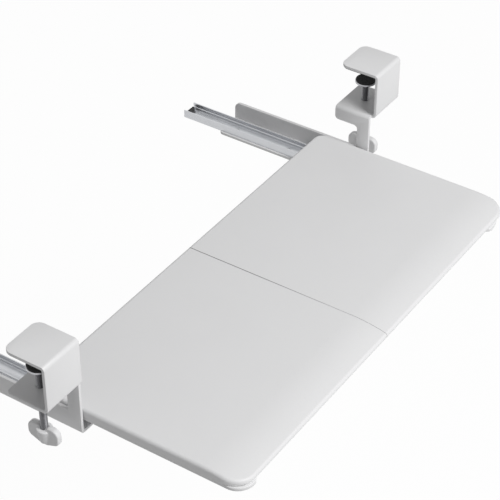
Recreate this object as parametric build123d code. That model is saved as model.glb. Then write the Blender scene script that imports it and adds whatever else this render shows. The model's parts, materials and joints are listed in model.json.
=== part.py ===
from build123d import *
import math
import os

# A keyboard tray that hangs from the front edge of a desk on two steel clamp brackets.
# All lengths are in millimetres. X runs along the desk edge, to the user's right.
# Y runs from the user into the space under the desk, and Z runs up.
# The origin is the middle of the desk's top front edge, halfway between the two clamps.

# Desk that the clamps are set to in the rest position
desk_thickness = 28.0

# Tray, pulled out
tray_width = 685.0
tray_depth = 320.0
tray_reach = 233.0
tray_top_drop = 120.5
shell_depth = 13.0
base_depth = 5.0
front_corner_radius = 30.0
rear_corner_radius = 16.0
top_edge_radius = 4.8
panel_thickness = 3.0
shell_wall = 3.0
front_slope_length = 55.0
front_slope_radius = 215.0
seam_chamfer = 0.7
lip_rounding = 1.2

# Ribs, bosses and dowels inside the shells
rib_thickness = 2.0
rib_pitch = 52.0
rib_gap = 0.5
boss_radius = 4.6
dowel_radius = 3.0
dowel_length = 24.0
dowel_boss_wall = 2.4
dowel_clearance = 0.1
dowel_end_gap = 0.5

# Base pans under the shells
base_inset = 0.8
base_floor = 2.2
base_rim = 2.4
lip_recess_depth = 26.0
lobe_reach = 2.4
lobe_end_radius = 10.0
left_lobe_length = 36.5
left_lobe_radius = 25.0
right_lobe_length = 61.5
right_lobe_radius = 50.0
ledge_gap = 0.2

# Sheet metal of the clamp brackets
sheet = 4.4
bend_radius = 6.0
low_bend_radius = 8.0
shelf_bend_radius = 5.0
clamp_height = 74.0
clamp_width = 65.7
top_plate_reach = 59.5
plate_corner_radius = 12.5
desk_face_gap = 0.6
flange_depth = 66.6
flange_corner_radius = 8.0
side_gap = 2.1
strip_width = 20.0
window_top_drop = 18.7
window_height = 37.5
window_top_radius = 6.0
window_low_radius = 2.5
arm_length = 240.0
arm_corner_radius = 10.0
shelf_margin = 2.5
shelf_corner_radius = 8.0

# Anti-slip pads under the top plates
pad_thickness = 1.2
pad_inset = 1.0

# Clamp screws and their weld nuts
screw_radius = 5.0
screw_y = 33.5
screw_end_chamfer = 0.8
thread_clearance = 0.05
hole_clearance = 0.5
nut_height = 9.0
nut_flats = 17.0
nut_chamfer = 1.2

# Swivel feet that press on the underside of the desk
foot_radius = 16.0
foot_plate = 3.0
foot_height = 8.0
foot_hub_radius = 8.5
foot_rubber = 2.0
foot_rubber_inset = 1.0
spigot_radius = 3.0
spigot_clearance = 0.05
spigot_head_radius = 4.6
spigot_head_height = 1.8
head_pocket_radius = 5.6
head_pocket_depth = 3.4
axial_play = 0.3

# Wing knobs
knob_drop = 133.6
knob_width = 48.0
knob_height = 30.0
knob_thickness = 9.0
knob_edge_radius = 1.8
knob_hub_top_radius = 11.5
knob_hub_low_radius = 6.8
knob_hub_length = 23.0
knob_bore_depth = 16.0
knob_point_shares = [(0.0, 0.0), (0.16, 0.15), (0.5, 0.15), (0.5, -0.6), (0.1, -0.85)]
knob_radius_shares = [0.2, 0.14, 0.21, 0.19, 0.09]

# Ball slides
slide_height = 14.4
slide_inset = 27.5
outer_half_width = 13.5
outer_wall = 1.6
outer_base = 1.2
outer_wall_height = 12.6
outer_length = 305.0
outer_start = 5.0
race_height = 6.8
race_offset = 10.9
race_lip_gap = 1.0
ball_radius = 1.75
race_clearance = 0.2
inner_web = 1.2
inner_wall = 1.5
inner_foot = 3.4
inner_length = 276.0
slide_setback = 33.0

# Ball cages, stops and bumpers of the slides
cage_thickness = 0.8
cage_height = 4.6
cage_length = 65.0
cage_setback = 3.0
balls_per_row = 8
ball_pitch = 7.6
ball_hole_clearance = 0.1
tab_thickness = 1.2
tab_width = 8.0
stop_tab_height = 7.0
catch_tab_gap = 0.4
stop_play = 0.3
bumper_length = 3.5
bumper_setback = 0.2
bumper_height = 6.0

# Screws that fix the slides, the base pans and the joining bars
shank_radius = 2.0
head_radius = 3.7
head_height = 2.0
head_rounding = 0.9
recess_width = 0.9
recess_length = 4.0
recess_depth = 1.2
pilot_clearance = 0.05
pass_clearance = 0.3
pilot_end_gap = 0.5
rail_screw_length = 6.5
tray_screw_length = 9.0
base_screw_length = 9.0
slide_end_margin = 24.0
base_screw_shares = [0.4, 0.78]

# Joining bars across the seam
bar_length = 170.0
bar_depth = 32.0
bar_thickness = 2.0
bar_corner_radius = 6.0
bar_screw_inset = 14.0
bar_inner_screw_x = 24.0
bar_row_gap = 16.0

# How far a cutting shape runs past what it cuts
overrun = 10.0

# Places of the tray
half_width = tray_width / 2
front_y = -tray_reach
rear_y = tray_depth - tray_reach
top_z = -tray_top_drop
shell_z = top_z - shell_depth
under_z = shell_z - base_depth
floor_top_z = under_z + base_floor
slope_start_y = front_y + front_slope_length
slope_centre_z = top_z - front_slope_radius
rib_low_z = shell_z + base_floor + rib_gap
recess_y = front_y + lip_recess_depth
dowel_z = top_z - panel_thickness - dowel_radius - dowel_clearance

# Places of the slides
outer_z = under_z - slide_height
slide_x = half_width - slide_inset
outer_inside = outer_half_width - outer_wall
inner_half_width = race_offset - race_lip_gap
inner_inside = inner_half_width - inner_wall
outer_end_y = outer_start + outer_length
inner_start_y = front_y + slide_setback
inner_end_y = inner_start_y + inner_length
stop_tab_y = inner_end_y - tab_thickness - stop_play - tab_thickness
cage_start_y = inner_end_y - cage_setback - cage_length
bumper_y = outer_end_y - bumper_setback - bumper_length
rail_head_z = outer_z + outer_base
tray_head_z = under_z - inner_web

# Places of the brackets
clamp_top_z = pad_thickness + sheet
flange_low_z = clamp_top_z - clamp_height
flange_top_z = flange_low_z + sheet
plate_face_y = -desk_face_gap - sheet
flange_end_y = plate_face_y + flange_depth
side_front_y = plate_face_y + low_bend_radius
arm_end_y = side_front_y + arm_length
side_inner_x = half_width + side_gap
side_mid_x = side_inner_x + sheet / 2
clamp_inner_x = side_inner_x + bend_radius
clamp_outer_x = clamp_inner_x + clamp_width
screw_x = (clamp_inner_x + clamp_outer_x) / 2
shelf_low_z = outer_z - sheet
shelf_inner_x = slide_x - outer_half_width - shelf_margin
window_top_z = flange_low_z - window_top_drop
window_low_z = window_top_z - window_height

# Places of the clamp screws
cup_top_z = -desk_thickness - foot_rubber
cup_low_z = cup_top_z - foot_height
pocket_z = cup_top_z - head_pocket_depth
shoulder_z = cup_low_z - axial_play
screw_low_z = -knob_drop - knob_bore_depth

# Rows and columns of the small screws. A rail is screwed down over the stretch
# that it shares with the shelf or with the tray, so its rows end where the first of them ends.
first_bar_y = recess_y + bar_row_gap + bar_depth / 2
last_bar_y = rear_y - bar_row_gap - bar_depth / 2
bar_rows = [first_bar_y, (first_bar_y + last_bar_y) / 2, last_bar_y]
bar_columns = [bar_inner_screw_x, bar_length / 2 - bar_screw_inset]
base_columns = [share * half_width for share in base_screw_shares]
first_rail_y = outer_start + slide_end_margin
last_rail_y = min(outer_end_y, arm_end_y) - slide_end_margin
rail_rows = [first_rail_y, (first_rail_y + last_rail_y) / 2, last_rail_y]
first_tray_y = inner_start_y + slide_end_margin
last_tray_y = min(inner_end_y, rear_y) - slide_end_margin
tray_rows = [first_tray_y, (first_tray_y + last_tray_y) / 2, last_tray_y]
rail_places = [(slide_x, y) for y in rail_rows]
tray_places = [(slide_x, y) for y in tray_rows]
base_places = [(x, y) for x in base_columns for y in bar_rows]
bar_places = [(x, y) for x in bar_columns for y in bar_rows]


def middle_and_size(low, high):
    """The middle and the size of a span."""
    return (low + high) / 2, high - low


def rectangle_between(x_low, x_high, y_low, y_high):
    """A flat rectangle given by its two opposite corners."""
    x, width = middle_and_size(x_low, x_high)
    y, height = middle_and_size(y_low, y_high)
    return Pos(x, y) * Rectangle(width, height)


def box_between(x_low, x_high, y_low, y_high, z_low, z_high):
    """A block given by its two opposite corners."""
    x, width = middle_and_size(x_low, x_high)
    y, depth = middle_and_size(y_low, y_high)
    z, height = middle_and_size(z_low, z_high)
    return Pos(x, y, z) * Box(width, depth, height)


def cylinder_between(x, y, z_low, z_high, radius):
    """An upright cylinder from z_low to z_high."""
    z, height = middle_and_size(z_low, z_high)
    return Pos(x, y, z) * Cylinder(radius, height)


def cylinder_across(x_low, x_high, y, z, radius):
    """A cylinder that lies along X."""
    x, length = middle_and_size(x_low, x_high)
    return Pos(x, y, z) * Rot(Y=90) * Cylinder(radius, length)


def outline(points, radii):
    """A flat face through the given corner points, each with its own rounding."""
    return make_face(FilletPolyline(*points, radius=radii, close=True))


def raised(face, z_low, z_high):
    """A face drawn in plan, made solid from z_low to z_high."""
    return extrude(Pos(0, 0, z_low) * face, amount=z_high - z_low)


def along_x(face, x_low, x_high):
    """A face drawn in side view, Y to the right, made solid from x_low to x_high."""
    return Pos(x_low, 0, 0) * extrude(Plane.YZ * face, amount=x_high - x_low)


def along_y(face, y_low, y_high):
    """A face drawn in front view, X to the right, made solid from y_low to y_high."""
    return Pos(0, y_low, 0) * extrude(Plane.XZ * face, amount=y_low - y_high)


def group(shapes):
    """Separate solids kept together under one name."""
    return Compound([solid for shape in shapes for solid in shape.solids()])


def mirrored(shape):
    """The same piece for the other side of the tray."""
    return mirror(shape, about=Plane.YZ)


def both_sides(shapes):
    """Separate solids of the right side together with their copies on the left."""
    return group(list(shapes) + [mirrored(shape) for shape in shapes])


def build_bracket():
    """The right bracket: a clamp bent round the desk edge, with a side plate and a shelf."""
    top_mid_z = clamp_top_z - sheet / 2
    plate_mid_y = plate_face_y + sheet / 2
    flange_mid_z = flange_low_z + sheet / 2
    shelf_mid_z = shelf_low_z + sheet / 2
    clamp_line = FilletPolyline(
        (top_plate_reach, top_mid_z),
        (plate_mid_y, top_mid_z),
        (plate_mid_y, flange_mid_z),
        (flange_end_y, flange_mid_z),
        radius=[bend_radius - sheet / 2, low_bend_radius - sheet / 2],
    )
    clamp = along_x(trace(clamp_line, sheet), clamp_inner_x, clamp_outer_x)
    plate_corners = [edge for edge in rear_corners(clamp) if edge.center().Z > 0]
    clamp = fillet(plate_corners, plate_corner_radius)
    flange_corners = [edge for edge in rear_corners(clamp) if edge.center().Z < 0]
    outer_corner = max(flange_corners, key=lambda edge: edge.center().X)
    clamp = fillet(outer_corner, flange_corner_radius)
    side_line = FilletPolyline(
        (clamp_inner_x + sheet, flange_mid_z),
        (side_mid_x, flange_mid_z),
        (side_mid_x, shelf_mid_z),
        (shelf_inner_x, shelf_mid_z),
        radius=[bend_radius - sheet / 2, shelf_bend_radius - sheet / 2],
    )
    side = along_y(trace(side_line, sheet), side_front_y, arm_end_y)
    side -= along_x(window_face(), side_inner_x - overrun, clamp_inner_x + sheet + overrun)
    arm_edges = side.edges().filter_by(Axis.X).filter_by(lambda edge: edge.center().Y > flange_end_y)
    side = fillet(arm_edges.group_by(Axis.Z)[-1], arm_corner_radius)
    shelf_edges = side.edges().filter_by(Axis.Z).filter_by(lambda edge: edge.center().X < slide_x)
    side = fillet(shelf_edges, shelf_corner_radius)
    bracket = clamp + side
    hole_radius = screw_radius + hole_clearance
    bracket -= cylinder_between(screw_x, screw_y, flange_low_z, flange_top_z, hole_radius)
    for x, y in rail_places:
        bracket -= cylinder_between(x, y, shelf_low_z, outer_z, shank_radius + pilot_clearance)
    return bracket


def rear_corners(clamp):
    """The upright corner edges at the rear of a clamp's top plate and of its flange."""
    return clamp.edges().filter_by(Axis.Z).filter_by(lambda edge: edge.center().Y > screw_y)


def window_face():
    """Side view of what is cut from the side plate: its window and all above the rear arm."""
    strip_y = side_front_y + strip_width
    past_y = arm_end_y + overrun
    past_z = flange_top_z + overrun
    points = [
        (strip_y, window_low_z),
        (past_y, window_low_z),
        (past_y, past_z),
        (flange_end_y, past_z),
        (flange_end_y, window_top_z),
        (strip_y, window_top_z),
    ]
    return outline(points, [window_low_radius, 0, 0, 0, window_top_radius, window_top_radius])


def build_top_pad():
    """The thin pad glued under the right top plate."""
    x_low = clamp_inner_x + pad_inset
    x_high = clamp_outer_x - pad_inset
    y_high = top_plate_reach - pad_inset
    radius = plate_corner_radius - pad_inset
    points = [
        (x_low, plate_face_y + bend_radius),
        (x_high, plate_face_y + bend_radius),
        (x_high, y_high),
        (x_low, y_high),
    ]
    return raised(outline(points, [0, 0, radius, radius]), 0, pad_thickness)


def build_nut():
    """The hexagon nut welded under the right flange, with its lower corners turned off."""
    low_z = flange_low_z - nut_height
    hexagon = Pos(screw_x, screw_y) * RegularPolygon(nut_flats / 2, 6, major_radius=False)
    corner_radius = nut_flats / math.sqrt(3)
    turned = cylinder_between(screw_x, screw_y, low_z, flange_low_z, corner_radius)
    turned = chamfer(turned.edges().group_by(Axis.Z)[0], nut_chamfer)
    nut = raised(hexagon, low_z, flange_low_z) & turned
    return nut - cylinder_between(screw_x, screw_y, low_z, flange_low_z, screw_radius + thread_clearance)


def build_clamp_screw():
    """The right clamp screw: a threaded rod with a spigot riveted over inside the foot."""
    rod = cylinder_between(screw_x, screw_y, screw_low_z, shoulder_z, screw_radius)
    rod = chamfer(rod.edges().filter_by(GeomType.CIRCLE), screw_end_chamfer)
    head_low_z = pocket_z + axial_play
    head_high_z = head_low_z + spigot_head_height
    rod += cylinder_between(screw_x, screw_y, shoulder_z, head_low_z, spigot_radius)
    return rod + cylinder_between(screw_x, screw_y, head_low_z, head_high_z, spigot_head_radius)


def build_swivel_cup():
    """The right foot's steel cup, turned with a pocket for the spigot's head."""
    cup = cylinder_between(screw_x, screw_y, cup_top_z - foot_plate, cup_top_z, foot_radius)
    cup += cylinder_between(screw_x, screw_y, cup_low_z, cup_top_z - foot_plate, foot_hub_radius)
    cup -= cylinder_between(screw_x, screw_y, pocket_z, cup_top_z, head_pocket_radius)
    return cup - cylinder_between(screw_x, screw_y, cup_low_z, pocket_z, spigot_radius + spigot_clearance)


def build_foot_rubber():
    """The rubber disc on top of the right foot."""
    return cylinder_between(screw_x, screw_y, cup_top_z, -desk_thickness, foot_radius - foot_rubber_inset)


def build_knob():
    """The right wing knob: two round wings beside a tapered hub for the screw's end."""
    half = [(x * knob_width, z * knob_height) for x, z in knob_point_shares]
    radii = [share * knob_width for share in knob_radius_shares]
    points = half + [(-x, z) for x, z in reversed(half[1:])]
    face = Pos(screw_y, -knob_drop) * outline(points, radii + radii[:0:-1])
    knob = along_x(face, screw_x - knob_thickness / 2, screw_x + knob_thickness / 2)
    sides = knob.faces().sort_by(Axis.X)
    knob = fillet(sides[0].edges() + sides[-1].edges(), knob_edge_radius)
    middle_z = -knob_drop - knob_hub_length / 2
    hub = Pos(screw_x, screw_y, middle_z) * Cone(knob_hub_low_radius, knob_hub_top_radius, knob_hub_length)
    knob += fillet(hub.edges().filter_by(GeomType.CIRCLE), knob_edge_radius)
    bore_radius = screw_radius + thread_clearance
    return knob - cylinder_between(screw_x, screw_y, screw_low_z, -knob_drop + overrun, bore_radius)


def races():
    """Front view of the two ball grooves that the rails of a slide share."""
    circle = Circle(ball_radius + race_clearance)
    return [Pos(side * race_offset, race_height) * circle for side in (-1, 1)]


def build_outer_rail():
    """The right slide's outer rail, a channel that is screwed to the shelf."""
    face = rectangle_between(-outer_half_width, outer_half_width, 0, outer_wall_height)
    face -= rectangle_between(-outer_inside, outer_inside, outer_base, outer_wall_height + overrun)
    face -= races()
    rail = along_y(Pos(slide_x, outer_z) * face, outer_start, outer_end_y)
    x_low = slide_x - tab_width / 2
    x_high = slide_x + tab_width / 2
    tab_end_y = stop_tab_y + tab_thickness
    lance_y = stop_tab_y - stop_tab_height + outer_base
    rail -= box_between(x_low, x_high, lance_y, stop_tab_y, outer_z, rail_head_z)
    rail += box_between(x_low, x_high, stop_tab_y, tab_end_y, outer_z, outer_z + stop_tab_height)
    for x, y in rail_places:
        rail -= cylinder_between(x, y, outer_z, rail_head_z, shank_radius + pass_clearance)
    return rail


def build_inner_rail():
    """The right slide's inner rail, a channel turned over and screwed under the tray."""
    face = rectangle_between(-inner_half_width, inner_half_width, inner_foot, slide_height)
    face -= rectangle_between(-inner_inside, inner_inside, inner_foot - overrun, slide_height - inner_web)
    face -= races()
    rail = along_y(Pos(slide_x, outer_z) * face, inner_start_y, inner_end_y)
    x_low = slide_x - tab_width / 2
    x_high = slide_x + tab_width / 2
    catch_z = rail_head_z + head_height + catch_tab_gap
    rail += box_between(x_low, x_high, inner_end_y - tab_thickness, inner_end_y, catch_z, tray_head_z)
    for x, y in tray_places:
        rail -= cylinder_between(x, y, tray_head_z, under_z, shank_radius + pass_clearance)
    return rail


def ball_places():
    """The middles of the right slide's balls, one row on each side."""
    first_y = cage_start_y + (cage_length - ball_pitch * (balls_per_row - 1)) / 2
    rows = [slide_x - race_offset, slide_x + race_offset]
    return [(x, first_y + ball_pitch * step) for x in rows for step in range(balls_per_row)]


def build_cage():
    """The right slide's two cage strips, each with a row of holes for its balls."""
    middle_z = outer_z + race_height
    cage_end_y = cage_start_y + cage_length
    strips = []
    for middle_x in (slide_x - race_offset, slide_x + race_offset):
        x_low = middle_x - cage_thickness / 2
        x_high = middle_x + cage_thickness / 2
        z_low = middle_z - cage_height / 2
        z_high = middle_z + cage_height / 2
        strip = box_between(x_low, x_high, cage_start_y, cage_end_y, z_low, z_high)
        for x, y in ball_places():
            if x_low < x < x_high:
                strip -= cylinder_across(x_low, x_high, y, middle_z, ball_radius + ball_hole_clearance)
        strips.append(strip)
    return group(strips)


def build_balls():
    """The right slide's balls."""
    return group([Pos(x, y, outer_z + race_height) * Sphere(ball_radius) for x, y in ball_places()])


def build_bumper():
    """The rubber block at the rear end of the right outer rail."""
    x_low = slide_x - inner_half_width
    x_high = slide_x + inner_half_width
    end_y = bumper_y + bumper_length
    return box_between(x_low, x_high, bumper_y, end_y, rail_head_z, rail_head_z + bumper_height)


def slope_z(y, panel):
    """Height of the front slope at y, on top of the panel or that much below."""
    return slope_centre_z + math.sqrt((front_slope_radius - panel) ** 2 - (slope_start_y - y) ** 2)


def tray_form(seam_x, wall, panel, z_low):
    """Outside of the right half tray, or its hollow when a wall and a panel are left round it."""
    front = front_y + wall
    rear = rear_y - wall
    side = half_width - wall
    past_front = front - overrun
    past_rear = rear + overrun
    middle = (past_front + slope_start_y) / 2
    slope_foot = (past_front, slope_z(past_front, panel))
    slope_top = (slope_start_y, top_z - panel)
    rear_top = (past_rear, top_z - panel)
    straight = Polyline(slope_top, rear_top, (past_rear, z_low), (past_front, z_low), slope_foot)
    slope = ThreePointArc(slope_foot, (middle, slope_z(middle, panel)), slope_top)
    block = along_x(make_face(straight + slope), seam_x, side + overrun)
    points = [(seam_x, front), (side, front), (side, rear), (seam_x, rear)]
    plan = outline(points, [0, front_corner_radius - wall, rear_corner_radius - wall, 0])
    return block & raised(plan, z_low, top_z)


def build_shell():
    """The right half of the tray: a moulded shell with ribs, bosses and dowel sockets."""
    shell = tray_form(0, 0, 0, shell_z)
    rim_z = (slope_z(front_y, 0) + shell_z) / 2
    rim = shell.edges().filter_by(Axis.Z, reverse=True).filter_by(lambda edge: edge.center().Z > rim_z)
    rim = rim.filter_by(lambda edge: edge.center().X > top_edge_radius)
    rim = rim.filter_by(lambda edge: abs(edge.center().Y - slope_start_y) > top_edge_radius)
    shell = fillet(rim, top_edge_radius)
    seam = shell.faces().sort_by(Axis.X)[0].edges()
    seam = seam.filter_by(lambda edge: edge.center().Z > rim_z)
    shell = chamfer(seam, seam_chamfer)
    lower_edges = shell.edges().group_by(Axis.Z)[0]
    shell = fillet(lower_edges.filter_by(lambda edge: edge.center().X > shell_wall), lip_rounding)
    hollow = tray_form(shell_wall, shell_wall, panel_thickness, shell_z - overrun)
    hollow -= rib_slabs()
    screw_places = tray_places + base_places + bar_places
    for x, y in screw_places:
        hollow -= cylinder_between(x, y, shell_z - overrun, top_z, boss_radius)
    socket_length = dowel_length / 2 + dowel_end_gap
    socket_boss_radius = dowel_radius + dowel_boss_wall
    for y in bar_rows:
        hollow -= cylinder_across(0, socket_length + dowel_boss_wall, y, dowel_z, socket_boss_radius)
    shell -= hollow
    for x, y in screw_places:
        shell += cylinder_between(x, y, floor_top_z, rib_low_z, boss_radius)
    for y in bar_rows:
        shell -= cylinder_across(0, socket_length, y, dowel_z, dowel_radius + dowel_clearance)
    pilot_ends = [
        (tray_places, tray_head_z + tray_screw_length),
        (base_places, under_z + base_screw_length),
        (bar_places, under_z - bar_thickness + base_screw_length),
    ]
    for places, screw_end_z in pilot_ends:
        for x, y in places:
            end_z = screw_end_z + pilot_end_gap
            shell -= cylinder_between(x, y, floor_top_z, end_z, shank_radius + pilot_clearance)
    return shell


def rib_slabs():
    """Upright slabs both ways across the right shell, which stay solid as its ribs."""
    slabs = []
    for step in range(1, int(half_width / rib_pitch) + 1):
        x = step * rib_pitch
        slabs.append(box_between(x, x + rib_thickness, front_y, rear_y, rib_low_z, top_z))
    for step in range(1, int(tray_depth / rib_pitch)):
        y = front_y + step * rib_pitch
        slabs.append(box_between(0, half_width, y, y + rib_thickness, rib_low_z, top_z))
    return slabs


def base_face(seam_x, inset, front, lobe_length, lobe_radius):
    """Plan of a base pan, drawn in by an inset, with its lobe at the front corner."""
    side = half_width - inset
    rear = rear_y - inset
    recess = recess_y + inset
    lobe = half_width - lobe_length + inset
    points = [(seam_x, recess), (lobe, recess), (lobe, front), (side, front), (side, rear), (seam_x, rear)]
    inner = lobe_end_radius + inset
    outer = lobe_end_radius - inset
    return outline(points, [0, inner, outer, lobe_radius - inset, rear_corner_radius - inset, 0])


def build_base(lobe_length, lobe_radius):
    """A base pan, drawn on the right: a tub with a ledge that closes the shell over the recess."""
    rim_inset = base_inset + base_rim
    plan = base_face(0, base_inset, front_y - lobe_reach, lobe_length, lobe_radius)
    hollow_plan = base_face(base_rim, rim_inset, front_y + base_rim, lobe_length, lobe_radius)
    base = raised(plan, under_z, shell_z) - raised(hollow_plan, floor_top_z, shell_z)
    ledge_x = shell_wall + ledge_gap
    ledge_end_x = half_width - lobe_length + lobe_end_radius
    ledge_y = front_y + shell_wall + ledge_gap
    ledge_end_y = recess_y + rim_inset
    base += box_between(ledge_x, ledge_end_x, ledge_y, ledge_end_y, shell_z, shell_z + base_floor)
    for x, y in tray_places + base_places + bar_places:
        base -= cylinder_between(x, y, under_z, floor_top_z, shank_radius + pass_clearance)
    return base


def build_dowels():
    """The dowels that line the two shells up at the seam."""
    end_x = dowel_length / 2
    return group([cylinder_across(-end_x, end_x, y, dowel_z, dowel_radius) for y in bar_rows])


def build_bars():
    """The steel bars that join the two halves from below."""
    low_z = under_z - bar_thickness
    bars = []
    for y in bar_rows:
        plate = Pos(0, y) * RectangleRounded(bar_length, bar_depth, bar_corner_radius)
        bar = raised(plate, low_z, under_z)
        for x in bar_columns:
            for side in (-x, x):
                bar -= cylinder_between(side, y, low_z, under_z, shank_radius + pass_clearance)
        bars.append(bar)
    return group(bars)


def pan_screw(length):
    """A cross-head screw that points up, with the underside of its head at zero."""
    head = cylinder_between(0, 0, -head_height, 0, head_radius)
    head = fillet(head.edges().group_by(Axis.Z)[0], head_rounding)
    x = recess_length / 2
    y = recess_width / 2
    slot = box_between(-x, x, -y, y, -head_height, recess_depth - head_height)
    head -= slot
    head -= Rot(Z=90) * slot
    return head + cylinder_between(0, 0, 0, length, shank_radius)


def screws_up(places, z, length):
    """Screws on the right side that point up from the height z."""
    return [Pos(x, y, z) * pan_screw(length) for x, y in places]


def screws_down(places, z, length):
    """Screws on the right side that point down from the height z."""
    return [Pos(x, y, z) * Rot(X=180) * pan_screw(length) for x, y in places]


os.makedirs("parts", exist_ok=True)

sided = {
    "bracket": build_bracket(),
    "top_pad": build_top_pad(),
    "weld_nut": build_nut(),
    "clamp_screw": build_clamp_screw(),
    "swivel_cup": build_swivel_cup(),
    "foot_rubber": build_foot_rubber(),
    "wing_knob": build_knob(),
    "outer_rail": build_outer_rail(),
    "ball_cage": build_cage(),
    "cage_balls": build_balls(),
    "inner_rail": build_inner_rail(),
    "rail_bumper": build_bumper(),
    "tray_shell": build_shell(),
}
single = {
    "right_base_pan": build_base(right_lobe_length, right_lobe_radius),
    "left_base_pan": mirrored(build_base(left_lobe_length, left_lobe_radius)),
    "seam_dowels": build_dowels(),
    "joining_bars": build_bars(),
    "rail_shelf_screws": both_sides(screws_down(rail_places, rail_head_z, rail_screw_length)),
    "rail_tray_screws": both_sides(screws_up(tray_places, tray_head_z, tray_screw_length)),
    "base_screws": both_sides(screws_up(base_places, under_z, base_screw_length)),
    "bar_screws": both_sides(screws_up(bar_places, under_z - bar_thickness, base_screw_length)),
}

for name, shape in sided.items():
    export_step(shape, "parts/right_" + name + ".step")
    export_step(mirrored(shape), "parts/left_" + name + ".step")
for name, shape in single.items():
    export_step(shape, "parts/" + name + ".step")
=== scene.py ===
# %% [markdown]
# # Dressing a sliding keyboard tray with two clamps
#
# The real object is a two-piece plastic tray on ball slides. Two steel brackets, coated in light
# grey powder, hook over the edge that the tray hangs from, and a screw with a wing knob tightens
# each one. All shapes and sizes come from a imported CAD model, which stands in this scene as a fixed
# frame. This lesson gives it the rounded sheet edges, the threads, the small screws and the
# finishes that a photograph shows. Everything stays in metres and in the frame's own axes, so no
# piece is fitted by eye.

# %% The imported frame
import json
import math

import bmesh
import bpy
from mathutils import Matrix, Vector

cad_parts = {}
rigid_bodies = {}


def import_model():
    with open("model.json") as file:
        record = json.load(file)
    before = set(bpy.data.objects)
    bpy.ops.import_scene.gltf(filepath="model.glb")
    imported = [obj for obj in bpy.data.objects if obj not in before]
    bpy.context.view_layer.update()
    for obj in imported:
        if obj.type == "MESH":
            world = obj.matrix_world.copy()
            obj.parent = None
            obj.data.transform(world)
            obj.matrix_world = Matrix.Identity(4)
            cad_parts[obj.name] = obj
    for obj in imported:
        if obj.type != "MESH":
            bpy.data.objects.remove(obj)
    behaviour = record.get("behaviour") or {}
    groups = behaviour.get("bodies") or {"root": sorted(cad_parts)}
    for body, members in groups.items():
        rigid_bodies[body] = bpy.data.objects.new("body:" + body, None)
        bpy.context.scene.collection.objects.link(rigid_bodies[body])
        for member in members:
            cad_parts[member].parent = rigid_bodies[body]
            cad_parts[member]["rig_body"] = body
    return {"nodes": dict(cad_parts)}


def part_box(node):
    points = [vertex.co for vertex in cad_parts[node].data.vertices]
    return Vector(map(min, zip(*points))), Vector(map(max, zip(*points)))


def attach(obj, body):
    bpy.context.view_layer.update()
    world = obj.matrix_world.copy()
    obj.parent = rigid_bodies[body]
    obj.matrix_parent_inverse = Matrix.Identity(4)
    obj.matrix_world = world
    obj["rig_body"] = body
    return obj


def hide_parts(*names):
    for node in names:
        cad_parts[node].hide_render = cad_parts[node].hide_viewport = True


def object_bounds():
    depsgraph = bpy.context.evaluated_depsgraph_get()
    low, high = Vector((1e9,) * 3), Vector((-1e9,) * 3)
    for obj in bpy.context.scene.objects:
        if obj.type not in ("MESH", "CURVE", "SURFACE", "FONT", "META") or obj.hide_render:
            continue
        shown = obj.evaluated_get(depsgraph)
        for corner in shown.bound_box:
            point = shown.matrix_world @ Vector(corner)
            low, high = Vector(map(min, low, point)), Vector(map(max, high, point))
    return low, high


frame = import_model()
nodes = frame["nodes"]
cad_low, cad_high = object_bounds()
mm = 0.001
sides = ("left", "right")
print("CAD nodes:", len(nodes), "box in mm:", [round(size / mm, 1) for size in cad_high - cad_low])

# %% [markdown]
# ## The camera
#
# The photograph was taken from the left, well above the tray, with a long lens. Its place was
# worked out from edges whose real lengths are known, such as the two ends of the tray, so the
# camera can be written down as a point, two angles and a focal length. A camera that was turned by
# hand until it looked right would put every later comparison in doubt.

# %% The camera
camera_place = Vector((-1.5733, -1.0705, 1.3897))
camera_azimuth = math.radians(-56.17)
camera_elevation = math.radians(37.84)
camera_lens_mm = 127.87
sensor_mm = 36.0


def look_direction(azimuth, elevation):
    """The unit vector from the object back to a camera at these angles."""
    flat = math.cos(elevation)
    return Vector((math.sin(azimuth) * flat, -math.cos(azimuth) * flat, math.sin(elevation)))


def build_camera():
    """A camera at the photograph's viewing angle."""
    data = bpy.data.cameras.new("studio_camera")
    data.sensor_width = sensor_mm
    data.lens = camera_lens_mm
    camera = bpy.data.objects.new("studio_camera", data)
    bpy.context.scene.collection.objects.link(camera)
    camera.location = camera_place
    back = look_direction(camera_azimuth, camera_elevation)
    camera.rotation_mode = "QUATERNION"
    camera.rotation_quaternion = (-back).to_track_quat("-Z", "Y")
    bpy.context.scene.camera = camera


build_camera()
print("Camera at", [round(part, 3) for part in camera_place])

# %% [markdown]
# ## Node trees written as sums
#
# A material or a Geometry Nodes tree is a picture of a calculation. It could be wired up node by
# node, with a line for each node and a line for each link, but then the calculation can't be read
# any more. Here a small class, Wire, stands for one output. Adding, multiplying or subtracting
# wires adds the Math node that does it, so a mask can be written as 1 - worn. Every other node
# comes from one method, add, which takes the node's type, its settings and its inputs.

# %% Node trees written as sums


class Wire:
    """One output of a node, which can be used in sums and fed into other nodes."""

    def __init__(self, recipe, node, output=None):
        self.recipe = recipe
        self.node = node
        enabled = [socket for socket in node.outputs if socket.enabled]
        self.socket = next(socket for socket in enabled if output in (None, socket.name))

    def __getitem__(self, output):
        return Wire(self.recipe, self.node, output)

    def math(self, operation, *others):
        return self.recipe.math(operation, self, *others)

    def clamped(self):
        """The same value, kept between 0 and 1."""
        return self.math("MAXIMUM", 0.0).math("MINIMUM", 1.0)

    def __add__(self, other):
        return self.math("ADD", other)

    def __sub__(self, other):
        return self.math("SUBTRACT", other)

    def __rsub__(self, other):
        return self.recipe.math("SUBTRACT", other, self)

    def __mul__(self, other):
        return self.math("MULTIPLY", other)

    def __truediv__(self, other):
        return self.math("DIVIDE", other)

    def __rtruediv__(self, other):
        return self.recipe.math("DIVIDE", other, self)

    __radd__ = __add__
    __rmul__ = __mul__


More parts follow.
